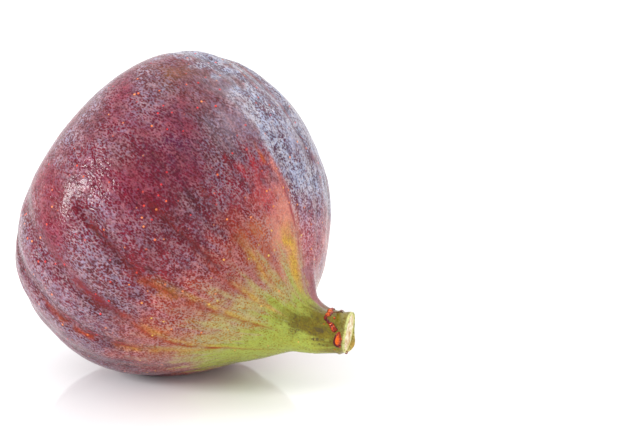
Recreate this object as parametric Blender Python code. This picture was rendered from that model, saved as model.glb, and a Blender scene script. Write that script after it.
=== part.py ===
"""A whole fresh fig, lying on its side with its short stalk along +X.

The fig is first turned as a plain round body about its own axis, eye end down and stalk up. Every point
is then moved by formulas: an oval girth, swells and hollows, ribs, the eye, the scar of the three dried
bracts round the stalk, and the crook of the neck. Last, the fig is laid on its side and gets a small
flat where it rests. Angles round the axis start at the top of the lying fig and grow towards -Y.
"""

from math import atan2, cos, hypot, pi, radians, sin

import bmesh
import bpy
import numpy as np

MM = 0.001

# Driving dimensions
GIRTH_RADIUS = 28.0 * MM  # plain radius at the fattest place, which is the zero of the axis
EYE_LENGTH = 21.7 * MM  # from the girth to the eye
NECK_STATION = 31.4 * MM  # from the girth to where the stalk begins
STALK_END = 38.4 * MM  # from the girth to the cut
NECK_RADIUS = 5.15 * MM
CUT_RADIUS = 3.3 * MM
NOSE_DOWN = radians(28.4)  # how far the axis dips below the horizon towards the stalk
REST_DEPTH = 1.0 * MM  # how much of the belly the flat takes off

# Plain outline
EYE_FULLNESS = 2.6  # exponent of the eye half: 2 is an ellipse, more is blunter
GIRTH_REACH = 19.9 * MM  # how long the shoulder holds the girth
NECK_REACH = 5.3 * MM  # how early the shoulder turns into the neck
NECK_TAPER = 0.12

# Crook of the neck
CROOK = radians(30.0)
CROOK_SIDE = radians(-45.4)
CROOK_FROM = 23.1 * MM
CROOK_TO = 36.7 * MM

# Girth out of round, as shares of the radius, both fading out towards the neck
OVAL = 0.033
OVAL_SIDE = radians(-37.0)
LOPSIDED = 0.013
LOPSIDED_SIDE = radians(132.0)
ROUND_FADE = 20.0 * MM

# Swells and hollows: side in degrees, station, height and reach in millimetres
SWELLS = (
    (-42.6, 10.9, -1.3, 9.0),
    (102.7, 6.0, 0.25, 9.0),
    (164.0, 14.2, -0.7, 9.0),
    (274.0, 5.2, 0.3, 9.0),
    (10.0, -18.0, 2.1, 9.0),
    (-76.0, 29.9, -1.2, 6.0),
    (129.0, 29.0, 0.2, 6.0),
)

# Ribs of the side that faces -Y and the top. Each row is a groove, or a crest where the height is
# positive: side at the girth in degrees, lean in degrees a millimetre, height in millimetres,
# half width in degrees, first and last station in millimetres.
FRONT_RIBS = (
    (342.0, -0.1, -0.55, 3.6, -20.0, 31.0),
    (357.0, 0.0, -0.3, 3.2, -19.0, 2.0),
    (1.0, 0.1, -0.45, 3.6, 6.0, 31.0),
    (9.0, 0.0, 0.65, 3.8, -2.0, 33.0),
    (20.0, 0.0, -0.35, 4.6, -2.0, 29.0),
    (43.0, 0.05, -0.45, 4.6, -6.0, 27.0),
    (55.0, 0.15, -0.75, 4.6, -9.0, 24.0),
    (75.0, 0.35, -0.85, 4.6, -14.0, 26.0),
    (97.0, 0.3, -0.55, 4.2, -20.0, 22.0),
    (114.5, 0.2, -0.75, 3.6, -21.0, 25.0),
    (133.0, 0.1, -0.45, 4.2, -20.0, 22.0),
)

# Ribs of the back and the belly follow the same pattern, spaced by a rule
BACK_RIBS = 10
BACK_FIRST = 152.0
BACK_SPACING = 18.0
RIB_WINDOW = 7.0 * MM  # length over which a rib rises from nothing

# Eye: a sunken disc of closed scales with a low lip
EYE_RADIUS = 2.7 * MM
EYE_DEPTH = 0.6 * MM
EYE_LIP = 0.4 * MM
EYE_LIP_WIDTH = 0.8 * MM
EYE_SCALES = 5

# Scar of the three bracts round the stalk, lying aslant, and the flared cut
SCAR_STATION = 36.9 * MM
SCAR_SLANT = 0.6 * MM
SCAR_SLANT_SIDE = radians(120.0)
SCAR_HEIGHT = 0.4 * MM
SCAR_HALF_WIDTH = 0.55 * MM
SCAR_BRACTS = 3
FLARE = 0.6 * MM
FLARE_LENGTH = 2.0 * MM
FLARE_SIDE = radians(-20.0)
CUT_DISH = 0.25 * MM

# Place of the girth's centre over the middle of the fig's footprint
CENTRE_X = -5.2 * MM
CENTRE_Y = 0.3 * MM

# Mesh
COLUMNS = 96
OUTLINE_POINTS = 60  # points of each stretch of the outline before they are spaced out
BODY_STEP = 2.4 * MM
EYE_STEP = 0.8 * MM
NECK_STEP = 1.2 * MM
SCAR_STEP = 0.6 * MM
WELD = 0.001 * MM
SNAP = 0.15 * MM

SKIN_COLOUR = (0.19, 0.05, 0.075, 1.0)


def smooth(t):
    t = np.clip(t, 0.0, 1.0)
    return t * t * (3.0 - 2.0 * t)


def turn_between(angle, side):
    """Signed angle from side to angle, between minus and plus half a turn."""
    return (angle - side + pi) % (2.0 * pi) - pi


def outline():
    """Station and radius of the plain fig, from the eye to the middle of the cut."""
    turn = np.linspace(0.0, pi / 2.0, OUTLINE_POINTS)
    share = np.linspace(0.0, 1.0, OUTLINE_POINTS)
    dome = GIRTH_RADIUS * (1.0 - np.cos(turn) ** EYE_FULLNESS) ** (1.0 / EYE_FULLNESS)
    eye_half = np.column_stack((-EYE_LENGTH * np.cos(turn), dome))
    corners = np.array(
        (
            (0.0, GIRTH_RADIUS),
            (GIRTH_REACH, GIRTH_RADIUS),
            (NECK_STATION - NECK_REACH, NECK_RADIUS + NECK_TAPER * NECK_REACH),
            (NECK_STATION, NECK_RADIUS),
        )
    )
    weights = np.column_stack(
        (
            (1.0 - share) ** 3,
            3.0 * share * (1.0 - share) ** 2,
            3.0 * share**2 * (1.0 - share),
            share**3,
        )
    )
    shoulder = weights @ corners
    stalk = np.column_stack(
        (
            NECK_STATION + (STALK_END - NECK_STATION) * share,
            NECK_RADIUS + (CUT_RADIUS - NECK_RADIUS) * share,
        )
    )
    return np.vstack((eye_half, shoulder[1:], stalk[1:]))


def stations():
    """Outline points spaced by what they have to show, then two rings and the middle of the cut."""
    line = outline()
    station, radius = line[:, 0], line[:, 1]
    step = np.full(len(line), BODY_STEP)
    step = np.where((station < 0.0) & (radius < 2.0 * EYE_RADIUS), EYE_STEP, step)
    step = np.where(station > CROOK_FROM, NECK_STEP, step)
    step = np.where(station > SCAR_STATION - 4.0 * SCAR_HALF_WIDTH, SCAR_STEP, step)
    lengths = np.hypot(*np.diff(line, axis=0).T)
    count = np.concatenate(((0.0,), np.cumsum(lengths / step[1:])))
    even = np.linspace(0.0, count[-1], int(round(count[-1])) + 1)
    spaced = np.column_stack((np.interp(even, count, station), np.interp(even, count, radius)))
    face = [(STALK_END, CUT_RADIUS * share) for share in (0.8, 0.4, 0.0)]
    return np.vstack((spaced, face))


def ribs():
    """All the grooves and crests, those of the back worked out from a rule."""
    rows = list(FRONT_RIBS)
    for number in range(BACK_RIBS):
        side = BACK_FIRST + BACK_SPACING * number + 3.0 * sin(2.4 * number)
        height = -0.55 - 0.2 * sin(1.7 * number + 0.6)
        rows.append((side, 0.1 * cos(1.3 * number), height, 4.2, -20.0, 26.0 + 2.0 * sin(number)))
    return rows


def rib_relief(station, radius, angle):
    """How far the ribs lift the skin, in metres."""
    lift = np.zeros_like(radius)
    fullness = np.clip(radius / GIRTH_RADIUS, 0.0, 1.0)
    for side, lean, height, half_width, first, last in ribs():
        line = radians(side) + radians(lean) * station / MM
        across = turn_between(angle, line) / radians(half_width)
        window = smooth((station - first * MM) / RIB_WINDOW) * smooth((last * MM - station) / RIB_WINDOW)
        lift += height * MM * np.exp(-(across**2)) * window * fullness
    return lift


def swell_relief(station, radius, angle):
    """Broad swells and hollows, in metres."""
    lift = np.zeros_like(radius)
    for side, place, height, reach in SWELLS:
        across = turn_between(angle, radians(side)) * radius
        distance = across**2 + (station - place * MM) ** 2
        lever = radius / np.maximum(radius, 6.0 * MM)
        lift += height * MM * lever * np.exp(-distance / (2.0 * (reach * MM) ** 2))
    return lift


def stalk_relief(station, angle):
    """The bract scar and the flare at the cut, in metres."""
    scar = SCAR_STATION + SCAR_SLANT * np.cos(angle - SCAR_SLANT_SIDE)
    ring = np.exp(-(((station - scar) / SCAR_HALF_WIDTH) ** 2))
    bracts = 0.6 + 0.4 * np.cos(SCAR_BRACTS * (angle - SCAR_SLANT_SIDE))
    towards = np.maximum(np.cos(angle - FLARE_SIDE), 0.0) ** 2
    flare = smooth((station - STALK_END + FLARE_LENGTH) / FLARE_LENGTH) * towards
    return SCAR_HEIGHT * ring * bracts + FLARE * flare


def eye_relief(station, radius, angle):
    """How far the eye moves the skin along the axis, in metres."""
    near = smooth(-station / EYE_LENGTH)
    lip = EYE_LIP * np.exp(-(((radius - EYE_RADIUS) / EYE_LIP_WIDTH) ** 2))
    pit = EYE_DEPTH * smooth(1.0 - radius / EYE_RADIUS)
    scales = 0.2 * EYE_LIP * np.cos(EYE_SCALES * angle) * np.exp(-(((radius / EYE_RADIUS) - 0.6) ** 2) * 12.0)
    return near * (pit - lip - scales)


def crook(station, radius, angle):
    """Bends the straight fig: sections stay square to the bent axis."""
    reach = np.linspace(-60.0 * MM, 60.0 * MM, 1201)
    slope = CROOK * smooth((reach - CROOK_FROM) / (CROOK_TO - CROOK_FROM))
    step = reach[1] - reach[0]
    sideways = np.cumsum(np.sin(slope)) * step
    along = np.cumsum(np.cos(slope)) * step
    middle_along = np.interp(station, reach, along) - np.interp(0.0, reach, along)
    middle_side = np.interp(station, reach, sideways)
    lean = np.interp(station, reach, slope)
    towards = radius * np.cos(angle - CROOK_SIDE)
    square = radius * np.sin(angle - CROOK_SIDE)
    shifted = middle_side + towards * np.cos(lean)
    x = shifted * cos(CROOK_SIDE) - square * sin(CROOK_SIDE)
    y = shifted * sin(CROOK_SIDE) + square * cos(CROOK_SIDE)
    return x, y, middle_along - towards * np.sin(lean)


def shaped(station, radius, angle):
    """Points of the finished fig about its own axis, for points of the plain turned fig."""
    unround = smooth((NECK_STATION - station) / ROUND_FADE)
    oval = OVAL * np.cos(2.0 * (angle - OVAL_SIDE)) + LOPSIDED * np.cos(angle - LOPSIDED_SIDE)
    full = radius * (1.0 + unround * oval)
    full += rib_relief(station, radius, angle) + swell_relief(station, radius, angle)
    full += stalk_relief(station, angle) * radius / CUT_RADIUS * (station > CROOK_FROM)
    dish = CUT_DISH * smooth(1.0 - radius / CUT_RADIUS) * (station > STALK_END - WELD)
    return crook(station + eye_relief(station, radius, angle) - dish, full, angle)


def laid(x, y, z):
    """Turns the fig onto its side: its own +X becomes the top, +Y becomes -Y, +Z points to the stalk."""
    across = sin(NOSE_DOWN) * x + cos(NOSE_DOWN) * z
    up = cos(NOSE_DOWN) * x - sin(NOSE_DOWN) * z
    return np.column_stack((across + CENTRE_X, CENTRE_Y - y, up))


def turned_mesh():
    """Spins the outline once round the axis."""
    mesh = bmesh.new()
    points = [mesh.verts.new((radius, 0.0, station)) for station, radius in stations()]
    edges = [mesh.edges.new(pair) for pair in zip(points, points[1:])]
    bmesh.ops.spin(
        mesh,
        geom=points + edges,
        cent=(0.0, 0.0, 0.0),
        axis=(0.0, 0.0, 1.0),
        angle=2.0 * pi,
        steps=COLUMNS,
        use_merge=True,
    )
    bmesh.ops.remove_doubles(mesh, verts=mesh.verts, dist=WELD)
    return mesh


def shape_mesh(mesh):
    """Moves every point of the turned mesh to its place on the lying fig, its rest at z = 0."""
    turned = [(vert.co.z, hypot(vert.co.x, vert.co.y), atan2(vert.co.y, vert.co.x)) for vert in mesh.verts]
    station, radius, angle = np.array(turned).T
    places = laid(*shaped(station, radius, angle))
    places[:, 2] -= places[:, 2].min() + REST_DEPTH
    for vert, place in zip(mesh.verts, places):
        vert.co = place


def cut_rest(mesh):
    """Cuts the belly off at z = 0 and closes it with one flat face."""
    everything = mesh.verts[:] + mesh.edges[:] + mesh.faces[:]
    bmesh.ops.bisect_plane(
        mesh,
        geom=everything,
        dist=SNAP,
        plane_co=(0.0, 0.0, 0.0),
        plane_no=(0.0, 0.0, 1.0),
        clear_inner=True,
    )
    rim = [edge for edge in mesh.edges if edge.is_boundary]
    for edge in rim:
        for vert in edge.verts:
            vert.co.z = 0.0
    bmesh.ops.contextual_create(mesh, geom=rim)
    bmesh.ops.recalc_face_normals(mesh, faces=mesh.faces)


def skin_material():
    material = bpy.data.materials.new("fig_skin")
    material.use_nodes = True
    shader = material.node_tree.nodes["Principled BSDF"]
    shader.inputs["Base Color"].default_value = SKIN_COLOUR
    shader.inputs["Roughness"].default_value = 0.5
    shader.inputs["Metallic"].default_value = 0.0
    return material


def make_fig():
    mesh = turned_mesh()
    shape_mesh(mesh)
    cut_rest(mesh)
    data = bpy.data.meshes.new("fig")
    mesh.to_mesh(data)
    mesh.free()
    data.shade_smooth()
    data.set_sharp_from_angle(angle=radians(40.0))
    data.materials.append(skin_material())
    fig = bpy.data.objects.new("fig", data)
    bpy.context.scene.collection.objects.link(fig)


def main():
    for leftover in list(bpy.data.objects):
        bpy.data.objects.remove(leftover)
    make_fig()


main()
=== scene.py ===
from math import atan2, cos, hypot, pi, radians, sin

import bmesh
import bpy
import numpy as np
from bpy.props import FloatProperty, FloatVectorProperty, IntProperty, PointerProperty
from bpy.types import Operator, Panel, PropertyGroup
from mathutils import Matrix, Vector, noise


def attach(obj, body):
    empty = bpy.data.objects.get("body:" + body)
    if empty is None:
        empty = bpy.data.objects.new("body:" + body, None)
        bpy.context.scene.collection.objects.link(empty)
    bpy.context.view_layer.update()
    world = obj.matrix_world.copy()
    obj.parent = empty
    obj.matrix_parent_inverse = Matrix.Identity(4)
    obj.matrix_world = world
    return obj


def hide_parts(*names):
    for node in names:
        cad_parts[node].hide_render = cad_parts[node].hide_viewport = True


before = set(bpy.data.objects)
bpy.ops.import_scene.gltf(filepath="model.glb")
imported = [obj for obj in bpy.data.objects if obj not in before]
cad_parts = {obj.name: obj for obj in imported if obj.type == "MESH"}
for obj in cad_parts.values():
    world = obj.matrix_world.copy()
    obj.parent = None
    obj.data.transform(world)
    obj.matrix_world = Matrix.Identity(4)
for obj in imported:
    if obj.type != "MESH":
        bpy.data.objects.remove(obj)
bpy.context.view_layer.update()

bl_info = {
    "name": "Fresh Fig",
    "version": (1, 0, 0),
    "blender": (4, 5, 0),
    "location": "3D View > Sidebar > Fig",
    "description": "Dresses a fresh fig on its side: ribbed skin with bloom, eye, cut stalk and dried sap",
    "category": "Add Mesh",
}

MM = 0.001
NODE = "fig"
BODY = "root"
# Size of the picture in pixels, and width in millimetres of the camera's sensor
PHOTO_WIDTH = 638.0
PHOTO_HEIGHT = 429.0
SENSOR_WIDTH = 36.0

# Swells and hollows of the body: side in degrees, station, height and reach in millimetres.
# Sides start at the top of the lying fig and grow towards -Y; stations run from the girth to the stalk.
SWELLS = (
    (-42.6, 10.9, -1.3, 9),
    (102.7, 6, 0.25, 9),
    (164, 14.2, -0.7, 9),
    (274, 5.2, 0.3, 9),
    (10, -18, 2.1, 9),
    (-76, 29.9, -1.2, 6),
    (129, 29, 0.2, 6),
    (-14, 28.8, 1.05, 2),
    (-13, 29.3, 0.55, 1.1),
    (-5, 33.9, -0.75, 1.35),
)

# Grooves and crests of the front: side at the girth, lean in degrees a millimetre, height in
# millimetres, half width in degrees, first and last station in millimetres
FRONT_RIBS = (
    (342, -0.1, -0.55, 3.6, -20, 31),
    (357, 0, -0.3, 3.2, -19, 2),
    (1, 0.1, -0.45, 3.6, 6, 31),
    (9, 0, 0.65, 3.8, -2, 33),
    (20, 0, -0.35, 4.6, -2, 29),
    (43, 0.05, -0.45, 4.6, -6, 27),
    (55, 0.15, -0.75, 3.8, 1, 24),
    (75, 0.35, -0.85, 3.8, -6, 26),
    (97, 0.3, -0.55, 4.2, -20, 22),
    (114.5, 0.2, -0.75, 3.6, -21, 25),
    (133, 0.1, -0.45, 4.2, -20, 22),
)
# Ribs of the back: how many, side of the first and spacing in degrees. The window is over how many
# millimetres any rib starts and ends
BACK_RIBS = 10
BACK_FIRST = 152.0
BACK_SPACING = 18.0
RIB_WINDOW = 7.0

# Sharp little creases near the eye end and along some grooves: side at the girth and lean in degrees,
# depth and half width in millimetres, first and last station
CREASES = (
    (346, 0.25, 0.16, 0.45, -19, -2),
    (351.5, 0.2, 0.12, 0.4, -18, -8),
    (336, 0.1, 0.14, 0.45, -16, 6),
    (357.5, 0.3, 0.14, 0.4, -14.5, -9),
    (111, 0.3, 0.16, 0.45, -21, -9),
    (117.5, 0.35, 0.14, 0.4, -21, -8),
    (124, 0.3, 0.12, 0.4, -20, -4),
    (61, 0.4, 0.12, 0.35, 12.5, 15.5),
    (75.5, 0.45, 0.2, 0.45, -2, 11),
    (54.5, 0.27, 0.16, 0.45, 8, 20),
    (116.6, 0.14, 0.16, 0.45, -2, 15),
)

# Where the purple gives way to tan, tan to green, and green to the brown of the stalk: side in degrees and
# station in millimetres
PURPLE_ENDS = (
    (0, 22), (9, 17.5), (20, 19), (30, 20), (45, 19.8), (52, 20.6), (70, 19), (80, 18.8), (90, 17.6),
    (105, 16.8), (120, 15.8), (132, 16.5), (145, 18.8), (190, 18), (250, 20), (310, 23), (335, 28),
    (350, 27),
)
GREEN_STARTS = (
    (0, 32), (12, 28.8), (20, 27.2), (50, 26.8), (65, 25.8), (90, 25.5), (104, 24.8), (114, 22.8),
    (124, 21.6), (140, 21.5), (190, 23), (240, 25.5), (300, 30), (335, 33.5),
)
STALK_STARTS = (
    (0, 31), (48, 29.5), (58, 27.2), (70, 26.9), (78, 29.8), (88, 33), (115, 33.6), (180, 32), (300, 32),
)

# Side of the middle of the front face; the back is what lies furthest from it
FRONT_MIDDLE = radians(55)

# Upper edge of the thick bloom on the far flank: station and side
BLOOM_EDGE = (
    (-22, -8), (-12, -1), (-6, 6.5), (0, 9.5), (4, 7.5), (9, 7.5), (11.5, 8), (15, 5), (18.5, 4), (23, 3),
)
# The side that the thick bloom fades to, the station where it ends at the top, and by how many millimetres
# that station falls for each degree down the flank
BLOOM_LAST_SIDE = -92.0
BLOOM_END = 23.5
BLOOM_SLOPE = 0.15

# Coloured lines along the ribs: side, lean, half width in degrees, first and last station in
# millimetres, share, and the name of the colour
LINES = (
    (13, 0.05, 2.2, -4, 12, 0.2, "maroon"),
    (8.5, 0, 1.1, 13, 21, 0.8, "salmon"),
    (6, 0.4, 3.2, 19.5, 26, 0.6, "salmon"),
    (12.6, -0.1, 0.45, 10.5, 13.5, 0.9, "orange"),
    (3.4, 0.4, 4.6, 22, 28.5, 0.85, "gold"),
    (10.6, -0.2, 1.3, 16.5, 24.5, 0.9, "red"),
    (75.5, 0.45, 1.2, -1, 12, 0.65, "maroon"),
    (54.5, 0.27, 1.2, 6, 20, 0.6, "maroon"),
    (57, 0.22, 2, 22.5, 28.5, 0.6, "gold"),
    (59, 0.22, 1.2, 18, 25, 0.6, "rust"),
    (37, 0.25, 1.6, 7, 19, 0.35, "maroon"),
    (94.5, 0.45, 2.2, -3, 13.5, 0.65, "maroon"),
    (102.5, 0.08, 1.6, 12.5, 20.5, 0.4, "orange"),
    (116.6, 0.14, 0.7, -3, 16, 0.75, "rust"),
    (119.5, -0.08, 1.4, 13, 23.5, 0.55, "gold"),
    (114, 0.22, 1, 2, 17, 0.7, "red"),
    # Painted shade: the crease lines darken the bottoms of the creases
    (75.5, 0.45, 0.6, 0.5, 11, 0.75, "dark_red_and_crease_shade"),
    (54.5, 0.27, 0.6, 8, 20, 0.55, "dark_red_and_crease_shade"),
    (97, 0.4, 0.6, 0, 13, 0.5, "dark_red_and_crease_shade"),
    (115.6, 0.14, 0.5, -2, 14, 0.5, "dark_red_and_crease_shade"),
    (37, 0.25, 0.6, 9, 18, 0.4, "dark_red_and_crease_shade"),
    (79, 0.25, 1.5, 11.5, 28, 0.8, "rust"),
    (76.2, 0.25, 1.5, 15, 27, 0.5, "gold"),
    (83.6, 1.4, 1.3, 12, 27, 0.75, "rust"),
    (81, 1.4, 1.2, 16, 26, 0.45, "gold"),
    (8.5, 0.35, 3, 21.5, 28.5, 0.6, "gold"),
    (-19, 0.1, 0.9, -9, 8, 0.6, "brick"),
    (-10, 0.2, 0.8, -7, 1, 0.5, "brick"),
    (27, 0.25, 1.5, 19, 27, 0.4, "rust"),
    (36, 0.3, 2.2, 20, 27.5, 0.45, "gold"),
    (128, 0.1, 1.6, 2, 15, 0.45, "maroon"),
)

# Soft patches of colour: side in degrees, station, half width round and along in millimetres, share,
# and the name of the colour
PATCHES = (
    (16.5, 16.3, 3.4, 3.2, 0.8, "blush"),
    (14.5, 20.4, 2.6, 2.4, 0.8, "salmon"),
    (49, 4.5, 8, 6.5, 0.6, "maroon"),
    (40, 4.5, 4, 4, 0.3, "umber"),
    (25, 0, 7, 7, 0.3, "umber"),
    (58, 13, 5, 4, 0.3, "maroon"),
    (83.5, 16, 0.9, 1.2, 0.5, "gold"),
    (45, 21.6, 3.4, 2.8, 0.65, "rust"),
    (33, 22.5, 2.4, 2.4, 0.4, "orange"),
    (15, -8, 3.4, 2.4, 0.25, "ochre"),
    (82, -12, 5, 5, 0.4, "brick"),
    (138, 17, 3.6, 2.4, 0.75, "maroon"),
    (345, 28.6, 2.6, 1.8, 0.5, "umber"),
    (36, 4, 4.5, 5, 0.5, "plum"),
    (17, 23, 2.6, 3, 0.9, "salmon"),
    (11, 20, 2, 3, 0.7, "salmon"),
    (38, 20.2, 2.5, 2.2, 0.4, "brick"),
    (112, 14, 3, 3, 0.15, "tan"),
    (4, -1.2, 3, 3.5, 0.35, "bloom"),
    (13.5, 6, 3.5, 3.5, 0.35, "bloom"),
    (3, 28.8, 1.9, 2.4, 0.7, "mauve"),
    (0, 28.5, 1.6, 2.4, 0.3, "umber"),
    (87, 19.8, 2.5, 2.2, 0.35, "brick"),
    (128, 17.8, 2.6, 2.6, 0.45, "tan"),
    (31, 14.5, 3.5, 3.5, 0.4, "red"),
    (78, 12.5, 3.5, 3, 0.4, "red"),
    (61, 20.8, 3, 2.6, 0.95, "brick"),
    (200, 4, 8, 5, 0.4, "maroon"),
    (250, -4, 8, 6, 0.4, "maroon"),
    (288, 10, 5, 6, 0.4, "blush"),
    (226, 16, 4, 4, 0.4, "orange"),
)

# Thicker haze on the purple, and thinner where the share is below nothing: side, station, half width round
# and along in millimetres, share
HAZES = (
    (50, 4.5, 9, 7, -0.45),
    (33, 1, 6, 5, -0.15),
    (60, 13, 6, 4, -0.15),
    (110, -3, 5, 6, 0.3),
    (43, -12, 8, 6, -0.38),
    (10, -6.8, 4, 4, -0.25),
    (79, -7.5, 5, 5, -0.25),
    (115, 15, 5, 4, -0.2),
    (80, -9, 5, 6, -0.4),
    (61, -5.8, 5, 6, -0.2),
    (102, 7, 7, 7, 0.4),
    (31, 14.5, 4, 4, 0.2),
    (27, -10.2, 4, 4, 0.25),
    (122, 12, 8, 8, 0.55),
    (36, 4, 5, 5, -0.2),
    (14, 6, 4.5, 4, 0.8),
    (86, -4, 5, 5, -0.65),
    (70, 11, 3.5, 4, -0.24),
    (43, 12, 4, 3.5, 0.4),
    (84, 11, 3, 3, 0.2),
    (74, 0.5, 2, 2, 0.3),
    (250, -5, 12, 12, 0.2),
)

# Dark smudges on the neck and the stalk: side, station, half width round and along in millimetres, share
SMUDGES = (
    (70, 31, 1, 1.5, 1),
    (72, 29.8, 0.9, 1, 0.7),
    (76, 31.2, 0.9, 1.2, 0.5),
    (73, 31.2, 1.9, 2.2, 0.6),
    (71, 32.2, 0.7, 1.4, 0.6),
    (66, 34.6, 0.7, 1.3, 0.8),
    (50, 33, 1.2, 1.6, 0.45),
    (90, 34.4, 0.4, 1.6, 0.65),
    (104, 34.8, 0.35, 2, 0.6),
    (79, 33.2, 0.4, 1.2, 0.5),
    (20, 33.2, 1.6, 1.8, 0.35),
    (190, 33, 1.4, 1.8, 0.5),
    (260, 34, 1.6, 1.6, 0.5),
    (320, 33, 1.4, 2, 0.4),
)

# Bract scars on the joint of the stalk: side in degrees, station, half length round the stalk and half
# width along it in millimetres
BRACTS = ((206, 37, 1.4, 0.6), (322, 36.4, 1.4, 0.5))

# Dried sap along the joint: side in degrees, station and radius in millimetres, and how dark it is, from 0
# for clear orange to 1 for nearly black red
SAP_LINE = (
    (-36, 34.9, 0.16, 0.6), (-22, 34.7, 0.26, 0.5), (-8, 34.6, 0.36, 0.35), (2, 34.7, 0.4, 0.2),
    (10, 34.8, 0.36, 0.05), (18, 34.75, 0.3, 0), (26, 34.7, 0.27, 0), (33, 34.6, 0.27, 0.2),
    (38, 34.75, 0.25, 0.8), (42, 35.05, 0.22, 1), (46, 35.5, 0.24, 0.7), (50, 35.95, 0.34, 0.4),
    (55, 36.25, 0.4, 0.45), (61, 36.5, 0.36, 0.3), (64, 36.55, 0.2, 0.6),
)
SAP_STRAND = (
    (8, 35.2, 0.16, 0.7), (16, 35.3, 0.15, 0.9), (24, 35.2, 0.14, 0.9), (29, 34.9, 0.12, 0.7),
)
SAP_SEAM = (
    (3, 35.1, 0.16, 0.4), (1, 35.7, 0.1, 0.7), (0, 36.3, 0.09, 0.8), (-2, 36.9, 0.15, 1),
)
SAP_TAIL = (
    (60, 36.6, 0.2, 0.7), (58, 36.9, 0.16, 0.9), (60, 37.1, 0.1, 0.9),
)
SAP_STRINGS = (SAP_LINE, SAP_STRAND, SAP_SEAM, SAP_TAIL)
SAP_DROPS = (
    (27, 36, 0.17, 0.3), (30, 36.1, 0.14, 0.4), (106, 37.75, 0.16, 0.4), (104, 37.9, 0.12, 0.4),
    (165, 38.35, 0.26, 0.5), (171, 38.3, 0.2, 0.5), (52, 34.75, 0.1, 0.2), (118, 36.9, 0.1, 0.3),
)
# The pool of sap in the scar: side, station, half length round and half width along, how much it widens
# towards its lower end
SAP_POOL = (83, 37.38, 1.12, 0.52, 0.35)


def smooth(t):
    """Eases from nothing to one."""
    t = np.clip(t, 0.0, 1.0)
    return t * t * (3.0 - 2.0 * t)


def between(value, first, last, soft):
    """One between first and last, falling to nothing over soft on either side."""
    return smooth((value - first) / soft + 0.5) * smooth((last - value) / soft + 0.5)


def mix(one, other, share):
    return one + (other - one) * share


def turn_between(angle, side):
    """Signed angle from side to angle, between minus and plus half a turn."""
    return (angle - side + pi) % (2.0 * pi) - pi


def oval(angle, lever, along, degrees, place, half_round, half_along):
    """A soft oval on the skin, one in its middle: lever is the radius that its width is measured at."""
    across = turn_between(angle, radians(degrees)) * lever / (half_round * MM)
    return np.exp(-(across**2) - ((along - place) / half_along) ** 2)


def round_table(degrees, rows):
    """Reads a closed table of side and value, in between its rows too."""
    sides = [row[0] for row in rows]
    values = [row[1] for row in rows]
    return np.interp(degrees % 360.0, sides, values, period=360.0)


def clouds(points, size, seed=0.0, detail=2):
    """Soft noise about zero for points in metres, with lumps of about the size given."""
    offset = Vector((seed * 7.3, seed * 3.1, seed * 5.7))
    rows = [noise.fractal(Vector(point) / size + offset, 1.0, 2.0, detail) for point in points]
    return np.array(rows)


def length_property(label, words, millimetres):
    return FloatProperty(name=label, description=words, default=millimetres * MM, unit="LENGTH", precision=4)


def angle_property(label, words, degrees):
    return FloatProperty(name=label, description=words, default=radians(degrees), unit="ROTATION")


def screen_to_linear(value):
    return value / 12.92 if value <= 0.04045 else ((value + 0.055) / 1.055) ** 2.4


def colour_property(label, words, rgb):
    """A colour given as it looks on a screen, from 0 to 255."""
    linear = [screen_to_linear(value / 255.0) for value in rgb]
    return FloatVectorProperty(
        name=label, description=words, default=linear, subtype="COLOR", size=3, min=0.0, max=1.0
    )


class FIG_PG_shape(PropertyGroup):
    """Sizes of the fig's body, and how fine its skin is."""

    girth_radius: length_property("Girth Radius", "Plain radius at the fattest place", 28.0)
    eye_length: length_property("Eye Length", "From the girth to the eye", 21.7)
    neck_station: length_property("Neck Station", "From the girth to where the stalk begins", 31.4)
    stalk_end: length_property("Stalk End", "From the girth to the cut", 38.4)
    neck_radius: length_property("Neck Radius", "Radius where the stalk begins", 5.15)
    cut_radius: length_property("Cut Radius", "Radius of the stalk at the cut", 3.3)
    nose_down: angle_property("Nose Down", "How far the axis dips below the horizon towards the stalk", 28.4)
    rest_depth: length_property("Rest Depth", "How far the belly is pressed in where it rests", 1.0)
    rib_share: FloatProperty(
        name="Ribs",
        description="Share of the ribs' full height",
        default=1.0,
        min=0.0,
        max=2.0,
        subtype="FACTOR",
    )
    columns: IntProperty(
        name="Columns", description="Faces round the girth of the skin", default=396, min=48, max=400
    )
    rows: IntProperty(
        name="Rows", description="Faces along the skin from the eye to the cut", default=236, min=60, max=240
    )


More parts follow.
